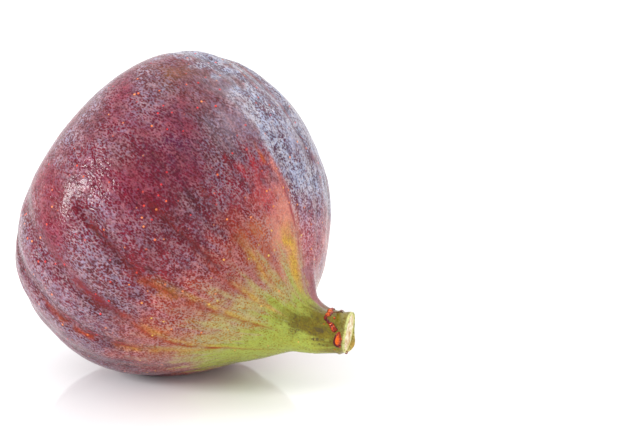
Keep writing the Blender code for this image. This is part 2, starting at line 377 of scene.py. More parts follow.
class FIG_PG_colours(PropertyGroup):
    """Colours of the skin, the stalk and the dried sap."""

    haze: colour_property("Haze", "Waxy bloom over the purple", (149, 119, 128))
    bloom: colour_property("Bloom", "Thick bloom on the upper flank", (180, 176, 188))
    maroon: colour_property("Maroon", "Purple skin under the bloom", (112, 5, 34))
    umber: colour_property("Umber", "Browner skin under the bloom", (98, 26, 34))
    # Dark red: painted shade in the creases and on the eye scales' inner ends; also the eye ring and the
    # scales' mottling
    dark_red_and_crease_shade: colour_property("Crease", "Dark bottoms of the creases", (74, 24, 34))
    plum: colour_property("Plum", "Skin dots under the thick bloom", (84, 24, 60))
    pink: colour_property("Pink", "Skin where the purple begins to thin", (186, 120, 118))
    brick: colour_property("Brick", "Dots where the purple thins", (142, 34, 32))
    tan: colour_property("Tan", "Pale skin between purple and yellow", (180, 136, 122))
    rust: colour_property("Rust", "Dots and lines on the tan skin", (156, 52, 18))
    straw: colour_property("Straw", "Yellow skin next to the green", (180, 166, 112))
    ochre: colour_property("Ochre", "Dots on the yellow skin", (172, 114, 14))
    green: colour_property("Green", "Apple green of the neck", (167, 176, 74))
    olive: colour_property("Olive", "Dots of the neck", (148, 142, 18))
    gold: colour_property("Gold", "Yellow lines along the ribs", (208, 164, 60))
    orange: colour_property("Orange", "Orange lines along the ribs", (196, 92, 40))
    blush: colour_property("Blush", "Bright red blush beside the crest", (186, 46, 56))
    salmon: colour_property("Salmon", "Pink blush along the crest", (228, 138, 118))
    red: colour_property("Red", "Red blush and red lines", (150, 20, 34))
    mauve: colour_property("Mauve", "Rosy skin of the neck's upper side", (208, 140, 146))
    stalk: colour_property("Stalk", "Olive brown of the stalk", (116, 94, 14))
    smudge: colour_property("Smudge", "Dark smudges of the neck and stalk", (72, 56, 18))
    spot_red: colour_property("Red Spot", "Small spots on the purple", (226, 50, 56))
    spot_gold: colour_property("Gold Spot", "Small spots on the tan and green", (236, 200, 96))
    cream: colour_property("Cream", "Pith of the cut stalk", (244, 236, 208))
    fibre: colour_property("Fibre", "Fibres in the cut", (206, 168, 112))
    rim: colour_property("Rim", "Fresh edge of the cut", (218, 214, 136))
    scale: colour_property("Scale", "Dry scales of the eye and bract scars", (112, 42, 44))
    sap: colour_property("Sap", "Dried sap", (138, 30, 6))
    sap_light: colour_property("Clear Sap", "Thin clear sap", (222, 96, 10))
    sap_dark: colour_property("Dark Sap", "Thick dried sap", (74, 6, 14))


class FIG_PG_stage(PropertyGroup):
    """Camera, lights and floor."""

    azimuth: angle_property("Azimuth", "Camera's turn round the fig", 36.5)
    elevation: angle_property("Elevation", "Camera's angle over the horizon", 15.0)
    distance: length_property("Distance", "From the camera to the fig's girth", 369.6)
    lens: FloatProperty(name="Lens", description="Focal length for a 36 mm wide picture", default=120.0)
    key_power: FloatProperty(name="Key", description="Power of the soft light above", default=0.9)
    side_power: FloatProperty(name="Side", description="Power of the soft light at the left", default=2.5)
    surround: FloatProperty(name="Surround", description="Strength of the white room", default=1.22)


# Outline and shape of the fig

# Roundness of the eye end, how far the body stays wide and the neck narrow, and the neck's slope
EYE_FULLNESS = 2.6
GIRTH_REACH = 19.9 * MM
NECK_REACH = 5.3 * MM
NECK_TAPER = 0.12
# Bend of the neck, the side it leans to and the stations between which it bends
CROOK = radians(30.0)
CROOK_SIDE = radians(-45.4)
CROOK_FROM = 23.1 * MM
CROOK_TO = 36.7 * MM
# The body is a little oval and fuller on one side, which fades out towards the neck
OVAL = 0.033
OVAL_SIDE = radians(-37.0)
LOPSIDED = 0.013
LOPSIDED_SIDE = radians(132.0)
ROUND_FADE = 20.0 * MM
# Hollow of the eye and the lip round it
EYE_RADIUS = 2.7 * MM
EYE_DEPTH = 0.6 * MM
EYE_LIP = 0.4 * MM
EYE_LIP_WIDTH = 0.8 * MM
# Joint of the stalk where the bracts sat
SCAR_STATION = 36.9 * MM
SCAR_SLANT = 0.6 * MM
SCAR_SLANT_SIDE = radians(120.0)
SCAR_HEIGHT = 0.22 * MM
SCAR_HALF_WIDTH = 0.45 * MM
# Flare of the stalk at the cut, depth of the pith, thickness of the rim and the torn flap of skin on it
FLARE = 0.6 * MM
FLARE_LENGTH = 2.0 * MM
FLARE_SIDE = radians(-20.0)
CUT_SINK = 0.35 * MM
CUT_WALL = 0.14 * MM
FLAP = 0.6 * MM
FLAP_SIDE = radians(212.0)
FLAP_TURN = radians(32.0)
# Where the middle of the girth lies, where the lowest point of the belly is looked for, and how softly its
# flat ends
CENTRE_X = -5.2 * MM
CENTRE_Y = 0.3 * MM
BELLY_REACH = 20.0 * MM
BELLY_TURN = radians(45.0)
REST_EDGE = 0.15 * MM


def outline(shape):
    """Station and radius of the plain fig, from the eye to the edge of the cut."""
    turn = np.linspace(0.0, pi / 2.0, 120)
    share = np.linspace(0.0, 1.0, 120)
    dome = shape.girth_radius * (1.0 - np.cos(turn) ** EYE_FULLNESS) ** (1.0 / EYE_FULLNESS)
    eye_half = np.column_stack((-shape.eye_length * np.cos(turn), dome))
    corners = np.array(
        (
            (0.0, shape.girth_radius),
            (GIRTH_REACH, shape.girth_radius),
            (shape.neck_station - NECK_REACH, shape.neck_radius + NECK_TAPER * NECK_REACH),
            (shape.neck_station, shape.neck_radius),
        )
    )
    weights = np.column_stack(
        ((1.0 - share) ** 3, 3.0 * share * (1.0 - share) ** 2, 3.0 * share**2 * (1.0 - share), share**3)
    )
    stalk = np.column_stack(
        (mix(shape.neck_station, shape.stalk_end, share), mix(shape.neck_radius, shape.cut_radius, share))
    )
    return np.vstack((eye_half, (weights @ corners)[1:], stalk[1:]))


def skin_line(shape):
    """The outline spaced for the skin, then the rolled edge of the cut and a hidden wall under its pith."""
    line = outline(shape)
    station, radius = line[:, 0], line[:, 1]
    density = 1.0 + 1.5 * (station > CROOK_FROM) + 1.5 * ((station < 0.0) & (radius < 2.0 * EYE_RADIUS))
    density = density + 1.5 * (station > SCAR_STATION - 2.0 * MM)
    lengths = np.hypot(*np.diff(line, axis=0).T) * density[1:]
    count = np.concatenate(((0.0,), np.cumsum(lengths)))
    even = np.linspace(0.0, count[-1], shape.rows - 8)
    spaced = np.column_stack((np.interp(even, count, station), np.interp(even, count, radius)))
    end, edge = shape.stalk_end, shape.cut_radius
    roll = [
        (end + CUT_WALL * 0.45 * sin(t), edge - CUT_WALL * 0.5 * (1.0 - cos(t)))
        for t in (0.7, 1.6, 2.5, pi)
    ]
    floor = [(end - 2.0 * CUT_SINK, edge - CUT_WALL * share) for share in (1.0, 4.0, 8.0, 11.0)]
    return np.vstack((spaced, roll, floor[:-1], [(end - 2.0 * CUT_SINK, 0.0)]))


def ribs():
    """All the grooves and crests, those of the back worked out from a rule."""
    rows = list(FRONT_RIBS)
    for number in range(BACK_RIBS):
        side = BACK_FIRST + BACK_SPACING * number + 3.0 * sin(2.4 * number)
        height = -0.55 - 0.2 * sin(1.7 * number + 0.6)
        rows.append((side, 0.1 * cos(1.3 * number), height, 4.2, -20.0, 26.0 + 2.0 * sin(number)))
    return rows


def rib_relief(shape, station, radius, angle):
    """How far the ribs lift the skin."""
    lift = np.zeros_like(radius)
    fullness = np.clip(radius / shape.girth_radius, 0.0, 1.0)
    for side, lean, height, half_width, first, last in ribs():
        line = radians(side) + radians(lean) * station / MM
        across = turn_between(angle, line) / radians(half_width)
        window = smooth((station / MM - first) / RIB_WINDOW) * smooth((last - station / MM) / RIB_WINDOW)
        lift += height * MM * np.exp(-(across**2)) * window * fullness
    return lift * shape.rib_share


def crease_relief(station, radius, angle):
    """Sharp little creases, each with a soft swelling beside it."""
    lift = np.zeros_like(radius)
    for side, lean, depth, half_width, first, last in CREASES:
        line = radians(side) + radians(lean) * station / MM
        across = turn_between(angle, line) * radius / (half_width * MM)
        window = between(station / MM, first, last, 3.0)
        lift += depth * MM * window * (0.6 * np.exp(-((across - 1.6) ** 2)) - np.exp(-(across**2)))
    return lift


def swell_relief(station, radius, angle):
    """How far the swells lift the skin, less where it is narrow."""
    lift = np.zeros_like(radius)
    for side, place, height, reach in SWELLS:
        across = turn_between(angle, radians(side)) * radius
        distance = across**2 + (station - place * MM) ** 2
        lever = radius / np.maximum(radius, 6.0 * MM)
        lift += height * MM * lever * np.exp(-distance / (2.0 * (reach * MM) ** 2))
    return lift


def scar_station(angle):
    """Station of the joint, which runs round the stalk at a slight slant."""
    return SCAR_STATION + SCAR_SLANT * np.cos(angle - SCAR_SLANT_SIDE)


def stalk_relief(shape, station, angle):
    """The joint of the stalk and its flare at the cut."""
    ring = np.exp(-(((station - scar_station(angle)) / SCAR_HALF_WIDTH) ** 2))
    towards = np.maximum(np.cos(angle - FLARE_SIDE), 0.0) ** 2
    flare = smooth((station - shape.stalk_end + FLARE_LENGTH) / FLARE_LENGTH) * towards
    return SCAR_HEIGHT * ring + FLARE * flare


def eye_relief(shape, station, radius):
    """How far the eye moves the skin along the axis."""
    near = smooth(-station / shape.eye_length)
    lip = EYE_LIP * np.exp(-(((radius - EYE_RADIUS) / EYE_LIP_WIDTH) ** 2))
    return near * (EYE_DEPTH * smooth(1.0 - radius / EYE_RADIUS) - lip)


def crook(station, radius, angle):
    """Bends the straight fig: sections stay square to the bent axis."""
    reach = np.linspace(-60.0 * MM, 60.0 * MM, 1201)
    slope = CROOK * smooth((reach - CROOK_FROM) / (CROOK_TO - CROOK_FROM))
    step = reach[1] - reach[0]
    sideways = np.cumsum(np.sin(slope)) * step
    along = np.cumsum(np.cos(slope)) * step
    middle_along = np.interp(station, reach, along) - np.interp(0.0, reach, along)
    middle_side = np.interp(station, reach, sideways)
    lean = np.interp(station, reach, slope)
    towards = radius * np.cos(angle - CROOK_SIDE)
    square = radius * np.sin(angle - CROOK_SIDE)
    shifted = middle_side + towards * np.cos(lean)
    x = shifted * cos(CROOK_SIDE) - square * sin(CROOK_SIDE)
    y = shifted * sin(CROOK_SIDE) + square * cos(CROOK_SIDE)
    return x, y, middle_along - towards * np.sin(lean)


def laid(shape, station, radius, angle, lift=0.0):
    """Points of the finished fig, on its side, for points of the plain turned fig."""
    unround = smooth((shape.neck_station - station) / ROUND_FADE)
    stretch = OVAL * np.cos(2.0 * (angle - OVAL_SIDE)) + LOPSIDED * np.cos(angle - LOPSIDED_SIDE)
    full = radius * (1.0 + unround * stretch)
    full += rib_relief(shape, station, radius, angle) + swell_relief(station, radius, angle)
    full += crease_relief(station, radius, angle)
    full += stalk_relief(shape, station, angle) * radius / shape.cut_radius * (station > CROOK_FROM)
    full += lift
    x, y, z = crook(station + eye_relief(shape, station, radius), full, angle)
    across = sin(shape.nose_down) * x + cos(shape.nose_down) * z
    up = cos(shape.nose_down) * x - sin(shape.nose_down) * z
    return np.column_stack((across + CENTRE_X, CENTRE_Y - y, up))


def girth_height(shape):
    """Height of the girth's centre over the surface, from the lowest point of the belly."""
    line = outline(shape)
    line = line[np.abs(line[:, 0]) < BELLY_REACH]
    angle = np.linspace(pi - BELLY_TURN, pi + BELLY_TURN, 61)
    station = np.repeat(line[:, 0], len(angle))
    radius = np.repeat(line[:, 1], len(angle))
    places = laid(shape, station, radius, np.tile(angle, len(line)))
    return -places[:, 2].min() - shape.rest_depth


def placed(shape, station, radius, angle, lift=0.0):
    """Points of the fig where it lies."""
    station, radius, angle = (np.asarray(values, float) for values in (station, radius, angle))
    places = laid(shape, station, radius, angle, lift)
    places[:, 2] += girth_height(shape)
    return places


def rested(places):
    """Lets the belly down onto the surface with a soft edge round its flat."""
    height = places[:, 2]
    places[:, 2] = 0.5 * (height + np.sqrt(height**2 + REST_EDGE**2))
    return places


# Meshes and objects

# A spin has one step for this many columns, and is then cut finer
SPIN_CUTS = 6
TINY = 0.0001 * MM
# The part of the map that the skin covers, which leaves room for faces that run over its end
MAP_MARGIN = 0.005
MAP_WIDTH = 0.98
MAP_HEIGHT = 0.99


def linked(name, data):
    """An object of the scene that shows the data."""
    made = bpy.data.objects.new(name, data)
    bpy.context.scene.collection.objects.link(made)
    return made


def object_from(mesh, name, material):
    """Makes the finished bmesh an object that rides on the fig's body."""
    bmesh.ops.recalc_face_normals(mesh, faces=mesh.faces)
    data = bpy.data.meshes.new(name)
    mesh.to_mesh(data)
    mesh.free()
    data.shade_smooth()
    data.materials.append(material)
    piece = linked(name, data)
    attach(piece, BODY)
    return piece


def spun(line, columns):
    """Turns a line of stations and radii once round the axis, and keeps each point's row on it."""
    mesh = bmesh.new()
    row_of = mesh.verts.layers.float.new("row")
    points = []
    for row, (station, radius) in enumerate(line):
        point = mesh.verts.new((radius, 0.0, station))
        point[row_of] = row
        points.append(point)
    edges = [mesh.edges.new(pair) for pair in zip(points, points[1:])]
    bmesh.ops.spin(
        mesh,
        geom=points + edges,
        cent=(0.0, 0.0, 0.0),
        axis=(0.0, 0.0, 1.0),
        angle=2.0 * pi,
        steps=columns // SPIN_CUTS,
        use_merge=True,
    )
    rings = [edge for edge in mesh.edges if edge.verts[0][row_of] == edge.verts[1][row_of]]
    bmesh.ops.subdivide_edges(mesh, edges=rings, cuts=SPIN_CUTS - 1, use_grid_fill=True)
    poles = [vert for vert in mesh.verts if hypot(vert.co.x, vert.co.y) < TINY]
    bmesh.ops.remove_doubles(mesh, verts=poles, dist=TINY)
    return mesh


def turned_places(mesh, line):
    """Row, station, radius and angle of every point of a turned mesh."""
    row_of = mesh.verts.layers.float["row"]
    rows = np.array([round(vert[row_of]) for vert in mesh.verts])
    angle = np.array([atan2(vert.co.y, vert.co.x) for vert in mesh.verts])
    line = np.array(line)
    return rows, line[rows, 0], line[rows, 1], angle


def move_to(verts, places):
    for vert, place in zip(verts, places):
        vert.co = place


def unwrap_round(data, across, along):
    """A map with the angle round the axis across and the row along, cut at the underside.

    The angle is no number at the poles, so their corners take the middle of the face's other corners.
    """
    layer = data.uv_layers.new(name="OFBake")
    corners = np.empty(len(data.loops), int)
    data.loops.foreach_get("vertex_index", corners)
    starts = np.empty(len(data.polygons), int)
    data.polygons.foreach_get("loop_start", starts)
    totals = np.empty(len(data.polygons), int)
    data.polygons.foreach_get("loop_total", totals)
    u = across[corners].copy()
    v = along[corners]
    pole = np.isnan(u)
    highest = np.repeat(np.maximum.reduceat(np.where(pole, -1.0, u), starts), totals)
    u = np.where(~pole & (highest - u > 0.5), u + 1.0, u)
    middle = np.add.reduceat(np.where(pole, 0.0, u), starts) / np.add.reduceat((~pole).astype(float), starts)
    u = np.where(pole, np.repeat(middle, totals), u)
    pairs = np.column_stack((MAP_MARGIN + MAP_WIDTH * u, MAP_MARGIN + MAP_HEIGHT * v))
    layer.data.foreach_set("uv", pairs.ravel().astype(np.float32))


def paint(data, name, values):
    """Stores a number or a colour on each point."""
    values = np.asarray(values, np.float32)
    if values.ndim == 1:
        data.attributes.new(name, "FLOAT", "POINT").data.foreach_set("value", values)
        return
    rgba = np.column_stack((values, np.ones(len(values), np.float32)))
    data.attributes.new(name, "FLOAT_COLOR", "POINT").data.foreach_set("color", rgba.ravel())


# Colours of the skin

# The gloss adds its own white to every colour, so all of them are painted a little darker
FINISH_SHADE = 0.89
# Patches on the narrow stalk are as wide as on a radius of this much
NARROWEST = 4.0 * MM
EYE_RING_WIDTH = 1.3 * MM
# Stages of ripening, from purple to green
STAGES = (0.0, 0.5, 1.0, 1.5, 2.0)


def palette(colours):
    """The colours by name, as they are painted."""
    names = FIG_PG_colours.__annotations__
    return {name: FINISH_SHADE * np.array(getattr(colours, name)) for name in names}


def toward(colour, target, share):
    """Moves each point's colour to the target by the point's own share."""
    return colour + (target - colour) * share[:, None]


def along_ramp(stage, colours):
    """Colour at each stage of ripening."""
    return np.column_stack([np.interp(stage, STAGES, channel) for channel in zip(*colours)])


def skin_colours(shape, colours, station, radius, angle, places):
    """What is painted on each point of the skin.

    pale and deep are the colours of the skin and of its dots, cover is the dots' share, contrast how strongly
    they stand out, spot the colour of the sparse spots, spotted how clear those are, wax how dull the finish
    is, and corky how scratched and brown.
    """
    tone = palette(colours)
    along = station / MM
    side = np.degrees(angle) % 360.0
    lever = np.maximum(radius, NARROWEST)
    round_point = np.column_stack((np.cos(angle), np.sin(angle), along / 60.0))
    streaks = clouds(round_point, 0.11, 1.0)
    fine_streaks = clouds(round_point, 0.045, 2.0)
    lumps = clouds(places, 7.0 * MM, 3.0)
    small = clouds(places, 2.4 * MM, 4.0)
    broad = clouds(places, 13.0 * MM, 5.0)
    shifted = along + 3.0 * streaks + 1.8 * fine_streaks + 1.8 * small
    purple_end = round_table(side, PURPLE_ENDS)
    green_start = round_table(side, GREEN_STARTS)
    past_purple = shifted - purple_end
    past_tan = shifted - green_start
    stage = smooth((past_purple + 7.0) / 5.5) + smooth((past_purple + 1.5) / 3.5)
    stage = stage + smooth((past_purple - 2.0) / np.maximum(green_start - purple_end - 3.0, 1.5))
    stage = (stage + smooth((past_tan + 1.0) / 3.5)) / 2.0
    thin = np.clip(stage, 0.0, 1.0)

    # Purple skin under its haze, then the ripening towards the neck
    bloomy = 0.8 + 0.4 * lumps + 0.3 * broad + 0.35 * small
    for *where, share in HAZES:
        bloomy = bloomy + share * oval(angle, lever, along, *where)
    bloomy = np.clip(bloomy, 0.22, 1.0)
    deep_purple = toward(tone["maroon"][None, :], tone["umber"], smooth(0.5 + 1.2 * lumps - broad))
    pale_purple = toward(1.3 * deep_purple, tone["haze"], bloomy)
    ramp_pale = along_ramp(stage, [tone[name] for name in ("haze", "pink", "tan", "straw", "green")])
    ramp_deep = along_ramp(stage, [tone[name] for name in ("maroon", "brick", "rust", "ochre", "olive")])
    ramp_deep = toward(ramp_deep, tone["rust"], 0.35 * smooth(stage - 1.0))
    purple = 1.0 - np.clip(2.0 * stage, 0.0, 1.0)
    pale = toward(ramp_pale, pale_purple, purple)
    deep = toward(ramp_deep, deep_purple, purple)
    cover = np.interp(stage, STAGES, (0.56, 0.60, 0.55, 0.37, 0.14))
    calmer = 1.0 - 0.3 * thin - 0.2 * smooth(stage - 1.0)
    cover = cover + (0.12 * lumps + 0.16 * small + 0.12 * streaks) * calmer
    tint = np.clip(1.0 + 0.22 * small + 0.16 * lumps, 0.7, 1.3)[:, None]
    deep = deep * tint

    # The thick bloom of the far flank, dust on the back, the rosy skin at the flank's end, and painted shade
    # inside the neck's bend
    signed = np.degrees(turn_between(angle, 0.0))
    inside = np.interp(along, *zip(*BLOOM_EDGE)) - signed
    eyewards = smooth((8.0 - along) / 9.0)
    wandering = small + eyewards * (0.9 * lumps + 1.2 * broad + 0.6 * small)
    softness = 3.0 + 13.0 * eyewards + 6.0 * smooth((along - 17.0) / 6.0)
    flank = smooth(inside / softness + 0.5 + wandering)
    flank = flank * smooth((signed - BLOOM_LAST_SIDE) / 55.0 + 0.5 * small + 0.6 * lumps + 0.5 * broad)
    flank = flank * smooth((along + 22.0) / 11.0 + 0.5 * small + 0.7 * lumps)
    behind = np.clip(-signed / 40.0, 0.0, 1.0)
    last = BLOOM_END - BLOOM_SLOPE * np.clip(-signed, 0.0, 90.0)
    fraying = behind * (0.8 * lumps + 0.6 * small)
    bloom = flank * smooth((last - shifted) / (8.0 + 12.0 * behind) + 0.5 + fraying)
    bloom = np.clip(bloom * (1.0 + 0.35 * lumps), 0.0, 1.0)
    back = smooth(0.35 - 0.95 * np.cos(angle - FRONT_MIDDLE)) + smooth((-along - 8.0) / 8.0)
    back = np.clip(back, 0.0, 1.0) * (1.0 - bloom)
    dusty = back * smooth(0.4 + 1.2 * broad + 0.8 * lumps + 0.6 * small) * purple
    pale = toward(pale, tone["bloom"], 0.36 * dusty)
    cover = cover - 0.1 * dusty + 0.14 * back * (1.0 - dusty) * purple
    pale = toward(pale, tone["bloom"], 0.95 * bloom)
    deep = toward(deep, tone["plum"], 0.92 * bloom)
    lines = 0.4 * fine_streaks + 0.25 * streaks
    cover = mix(cover, 0.45 + 0.25 * lumps + 0.2 * small + lines, 0.85 * bloom)
    pale = toward(pale, 1.12 * pale, bloom * np.clip(-2.5 * lines, 0.0, 1.0))

    rosy = flank * between(along, 20.5, 34.0, 7.0) * (1.0 - 0.45 * behind)
    pale = toward(pale, tone["mauve"], 0.85 * rosy)
    deep = toward(deep, tone["blush"], 0.45 * rosy)
    # Painted shade: inside the neck's bend on the flank, the skin is darkened towards umber
    shade = flank * smooth((along - 25.5) / 4.0) * smooth((38.0 - along) / 6.0)
    pale = toward(pale, mix(tone["mauve"], tone["umber"], 0.66), 0.8 * shade)
    deep = toward(deep, tone["umber"], 0.6 * shade)

    # Painted shade in the grooves, their veins, the ring of the eye, patches and lines
    # Painted shade: on the purple, the grooves get more dots and darker colours
    grooves = np.clip(-rib_relief(shape, station, radius, angle) / (0.55 * MM), 0.0, 1.0)
    cover = cover + 0.2 * grooves * (1.0 - thin)
    deep = toward(deep, 0.75 * deep, grooves * (1.0 - thin))
    pale = toward(pale, 0.85 * pale, grooves * (1.0 - thin))
    veins = grooves * thin * smooth(2.2 - stage) * np.clip(0.7 + 1.2 * small, 0.0, 1.0)
    pale = toward(pale, mix(tone["rust"], tone["gold"], 0.5), 0.6 * veins)
    deep = toward(deep, tone["rust"], 0.5 * veins)

    ragged = 1.0 + 0.9 * small + 0.6 * fine_streaks
    ring = (station < 0.0) * np.exp(-(((radius - EYE_RADIUS) / EYE_RING_WIDTH) ** 2))
    ring = ring * np.clip(0.8 + small, 0.0, 1.0)
    pale = toward(pale, mix(tone["umber"], tone["haze"], 0.45), 0.7 * ring)
    deep = toward(deep, tone["dark_red_and_crease_shade"], 0.7 * ring)
    for *where, share, name in PATCHES:
        amount = np.clip(share * oval(angle, lever, shifted, *where) * ragged, 0.0, 1.0)
        pale = toward(pale, mix(tone[name], tone["haze"], 0.3), 0.6 * amount)
        deep = toward(deep, tone[name], amount)
        cover = cover + 0.25 * amount * (name in ("maroon", "red"))
    for degrees, lean, half_width, first, last, share, name in LINES:
        line = radians(degrees) + radians(lean) * along + 0.02 * small
        across = turn_between(angle, line) / radians(half_width)
        amount = share * np.exp(-(across**2)) * between(along, first, last, min(5.0, 0.6 * (last - first)))
        amount = np.clip(amount * ragged, 0.0, 1.0)
        pale = toward(pale, tone[name], amount)
        root = tone["red"] if name in ("salmon", "blush", "red") else tone["rust"]
        deep = toward(deep, mix(tone[name], root, 0.4), 0.9 * amount)
        cover = mix(cover, 0.35, 0.5 * amount)

    # The neck, the stalk, its joint and the edge of the cut
    mottled = smooth(stage - 1.2) * smooth(0.5 + 2.4 * small + 1.2 * lumps + 0.12 * (along - 29.0))
    pale = toward(pale, mix(tone["olive"], tone["ochre"], 0.35), 0.1 * mottled)
    deep = toward(deep, tone["smudge"], 0.15 * mottled)
    cover = cover + 0.05 * mottled
    stalk = smooth((mix(along, shifted, 0.4) - round_table(side, STALK_STARTS)) / 3.5)
    pale = toward(pale, tone["stalk"], 0.85 * stalk)
    deep = toward(deep, tone["smudge"], 0.5 * stalk)
    cover = mix(cover, 0.2, stalk)
    corky = np.zeros(len(along))
    for *where, share in SMUDGES:
        amount = share * oval(angle, radius, along + 0.5 * small, *where) * (1.0 + 0.7 * small)
        corky = np.maximum(corky, np.clip(amount, 0.0, 1.0))
    pale = toward(pale, tone["smudge"], 0.5 * corky)
    past = smooth((station - scar_station(angle)) / (0.6 * MM))
    pale = toward(pale, mix(tone["stalk"], tone["rim"], 0.25), 0.7 * past)
    edge = smooth((station - shape.stalk_end + 0.38 * MM) / (0.2 * MM) + 0.8 * small)
    pale = toward(pale, tone["rim"], edge)
    deep = toward(deep, tone["olive"], edge)
    cover = mix(cover, 0.3, edge)
    flap = edge * np.exp(-((turn_between(angle, FLAP_SIDE) / FLAP_TURN) ** 2))
    pale = toward(pale, mix(tone["ochre"], tone["gold"], 0.5), 0.8 * flap)
    deep = toward(deep, tone["smudge"], 0.5 * flap)

    spot = toward(tone["spot_red"][None, :], tone["spot_gold"], np.clip(thin + 0.6 * small, 0.0, 1.0))
    wax = np.clip(0.3 + 0.5 * bloom + 0.4 * bloomy * (1.0 - thin) + 0.2 * lumps, 0.0, 1.0)
    spotted = (1.0 - stalk) * (1.0 - 0.1 * stage)
    contrast = mix(np.interp(stage, STAGES, (1.0, 0.9, 0.6, 0.45, 0.4)), 0.6, stalk)
    numbers = {"cover": np.clip(cover, 0.05, 0.9), "wax": wax, "spotted": spotted, "corky": corky}
    return {"pale": pale, "deep": deep, "spot": spot, "contrast": contrast, **numbers}


# Materials

# Size of the dots, how much longer they are along the fig, and how soft their edges are
DOT_SIZE = 0.32 * MM
DOT_STRETCH = 1.7
DOT_EDGE = 0.26
# What the pale skin, the dots and the wrinkles are multiplied with in places, to vary them
PALE_TINT = (0.80, 0.94, 1.13)
DEEP_TINT = (0.42, 0.7, 0.95)
WRINKLE_TINT = (0.6, 0.5, 0.7)
CORK_BROWN = (0.085, 0.06, 0.02)
SPOT_ORANGE = (0.83, 0.25, 0.08)
# Network of wrinkles: mesh size, width as a share of it, and size and reach of the waves that bend it
WRINKLE_SIZE = 3.2 * MM
WRINKLE_WIDTH = 0.06
WRINKLE_WAVES = 2.0 * MM
WRINKLE_BEND = 1.2 * MM
# Spacing and radius of the bright spots, and height of the whole relief
SPOT_CELL = 1.9 * MM
SPOT_RADIUS = 0.25 * MM
RELIEF = 0.07 * MM
SAP_GLOSS = {"Specular IOR Level": 0.22, "Coat Weight": 0.08, "Coat Roughness": 0.05}


class Recipe:
    """The nodes of one material, set out in rows in the order they are added."""

    def __init__(self, name):
        self.material = bpy.data.materials.new(name)
        self.material.use_nodes = True
        self.tree = self.material.node_tree

    def give(self, socket, value):
        """Joins a node's output to the socket, or sets the socket to a number or a colour."""
        if isinstance(value, bpy.types.NodeSocket):
            self.tree.links.new(value, socket)
        elif socket.type == "RGBA" and len(value) == 3:
            socket.default_value = (*value, 1.0)
        else:
            socket.default_value = value

    def add(self, kind, inputs, **settings):
        """Adds a node and gives its inputs, by name or number."""
        made = self.tree.nodes.new("ShaderNode" + kind)
        row, column = divmod(len(self.tree.nodes), 10)
        made.location = (200.0 * column - 2400.0, 300.0 - 300.0 * row)
        for key, value in settings.items():
            setattr(made, key, value)
        for key, value in inputs.items():
            self.give(made.inputs[key], value)
        return made

    def finished(self, inputs):
        """The material, once its shader has its inputs."""
        for key, value in inputs.items():
            self.give(self.tree.nodes["Principled BSDF"].inputs[key], value)
        return self.material

    def place(self):
        """Object coordinates."""
        return self.add("TexCoord", {}).outputs["Object"]

    def colour(self, name):
        """A colour that the mesh carries on its points."""
        return self.add("Attribute", {}, attribute_name=name).outputs["Color"]

    def number(self, name):
        """A number that the mesh carries on its points."""
        return self.add("Attribute", {}, attribute_name=name).outputs["Fac"]

    def calculate(self, operation, *values):
        return self.add("Math", dict(enumerate(values)), operation=operation).outputs[0]

    def times(self, one, other):
        return self.calculate("MULTIPLY", one, other)

    def times_plus(self, one, other, third):
        return self.calculate("MULTIPLY_ADD", one, other, third)

    def swing(self, value, share, base):
        """Adds to the base a share of how far the value is from a half."""
        return self.times_plus(self.calculate("SUBTRACT", value, 0.5), share, base)

    def blend(self, share, one, other, mode="MIX"):
        inputs = {0: share, 6: one, 7: other}
        return self.add("Mix", inputs, data_type="RGBA", blend_type=mode).outputs[2]

    def tinted(self, colour, tint):
        return self.blend(1.0, colour, tint, "MULTIPLY")

    def ramp(self, value, low, high, to_low=0.0, to_high=1.0):
        inputs = {0: value, 1: low, 2: high, 3: to_low, 4: to_high}
        return self.add("MapRange", inputs, interpolation_type="SMOOTHSTEP").outputs[0]

    def grain(self, vector, size, detail=2.0, roughness=0.5, output="Fac"):
        inputs = {"Vector": vector, "Scale": 1.0 / size, "Detail": detail, "Roughness": roughness}
        return self.add("TexNoise", inputs).outputs[output]

    def cells(self, vector, size, feature="F1"):
        return self.add("TexVoronoi", {"Vector": vector, "Scale": 1.0 / size}, feature=feature).outputs

    def bump(self, height, strength, distance):
        return self.add("Bump", {"Height": height, "Strength": strength, "Distance": distance}).outputs[0]


def skin_dots(recipe, turned, distance, fine, middling, clumps):
    """Where the deep dots show: ragged dots, veiled here and there by an even film."""
    film = recipe.ramp(recipe.grain(turned, 2.6 * MM), 0.42, 0.62)
    cover = recipe.swing(clumps, 0.5, recipe.number("cover"))
    reach = recipe.times_plus(cover, 0.6, 0.16)
    field = recipe.swing(middling, 0.6, recipe.swing(fine, 0.7, distance))
    low = recipe.calculate("SUBTRACT", reach, DOT_EDGE)
    high = recipe.calculate("ADD", reach, DOT_EDGE)
    crisp = recipe.ramp(field, low, high, 1.0, 0.0)
    return recipe.add("Mix", {0: recipe.times(film, 0.35), 2: crisp, 3: cover}).outputs[0]


def skin_wrinkles(recipe, turned, clumps):
    """Where the network of fine wrinkles shows."""
    bend = recipe.grain(turned, WRINKLE_WAVES, 3.0, output="Color")
    inputs = {0: bend, 1: (WRINKLE_BEND, WRINKLE_BEND, WRINKLE_BEND), 2: turned}
    wavy = recipe.add("VectorMath", inputs, operation="MULTIPLY_ADD").outputs[0]
    network = recipe.cells(wavy, WRINKLE_SIZE, "DISTANCE_TO_EDGE")["Distance"]
    wrinkled = recipe.ramp(network, 0.0, WRINKLE_WIDTH, 1.0, 0.0)
    return recipe.times(wrinkled, recipe.ramp(clumps, 0.46, 0.66))


